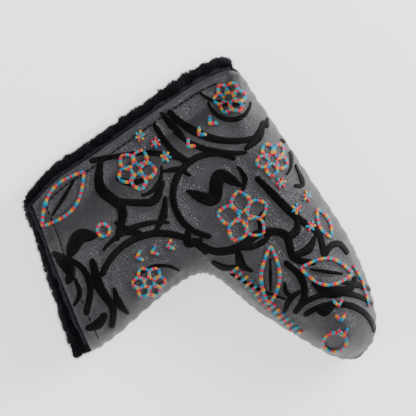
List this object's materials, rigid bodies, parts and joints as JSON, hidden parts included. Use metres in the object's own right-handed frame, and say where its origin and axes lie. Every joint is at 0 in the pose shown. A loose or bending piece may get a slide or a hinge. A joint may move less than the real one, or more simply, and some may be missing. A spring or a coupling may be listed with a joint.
{
  "type": "blade putter head cover",
  "caption": "Padded L-shaped head cover for a blade putter: embroidered leather-look shell, plush lining, side opening with hook-and-loop tapes and an open neck.",
  "frame": {"origin": "centre of the bounding box's bottom face, on the plane that the back panel lies on", "axes": "+X along the sole from the toe to the heel side, +Y from the sole up the neck to its mouth, +Z out of the front panel"},
  "size_m": [0.1674, 0.1487, 0.0447],
  "materials": {
    "leather_look": "fine grain, satin",
    "padding": "matte foam",
    "plush": "short deep pile",
    "closure_tape": "hook and loop tape",
    "variegated_thread": "satin thread in bands of cyan, blue, red and yellow",
    "black_thread": "satin thread"
  },
  "bodies": {
    "cover": {"front_shell": "leather_look", "back_shell": "leather_look", "front_foam": "padding", "back_foam": "padding", "front_lining": "plush", "back_lining": "plush", "loop_tape": "closure_tape", "loop_tape_thread": "black_thread", "side_seam_thread": "black_thread", "back_topstitch": "black_thread", "front_outline_embroidery": "black_thread", "front_colour_embroidery": "variegated_thread"},
    "front_leaf": {"front_shell_leaf": "leather_look", "front_foam_leaf": "padding", "front_lining_leaf": "plush", "hook_tape": "closure_tape", "hook_tape_thread": "black_thread", "heel_topstitch": "black_thread", "mouth_topstitch": "black_thread", "leaf_outline_embroidery": "black_thread", "leaf_colour_embroidery": "variegated_thread"}
  },
  "joints": [
    {"name": "leaf_fold", "type": "hinge", "parent": "cover", "child": "front_leaf", "pos_m": [0.07092, -0.06735, 0.0388], "axis": [0.4794, -0.8776, 0], "range_deg": [0, 45]}
  ]
}
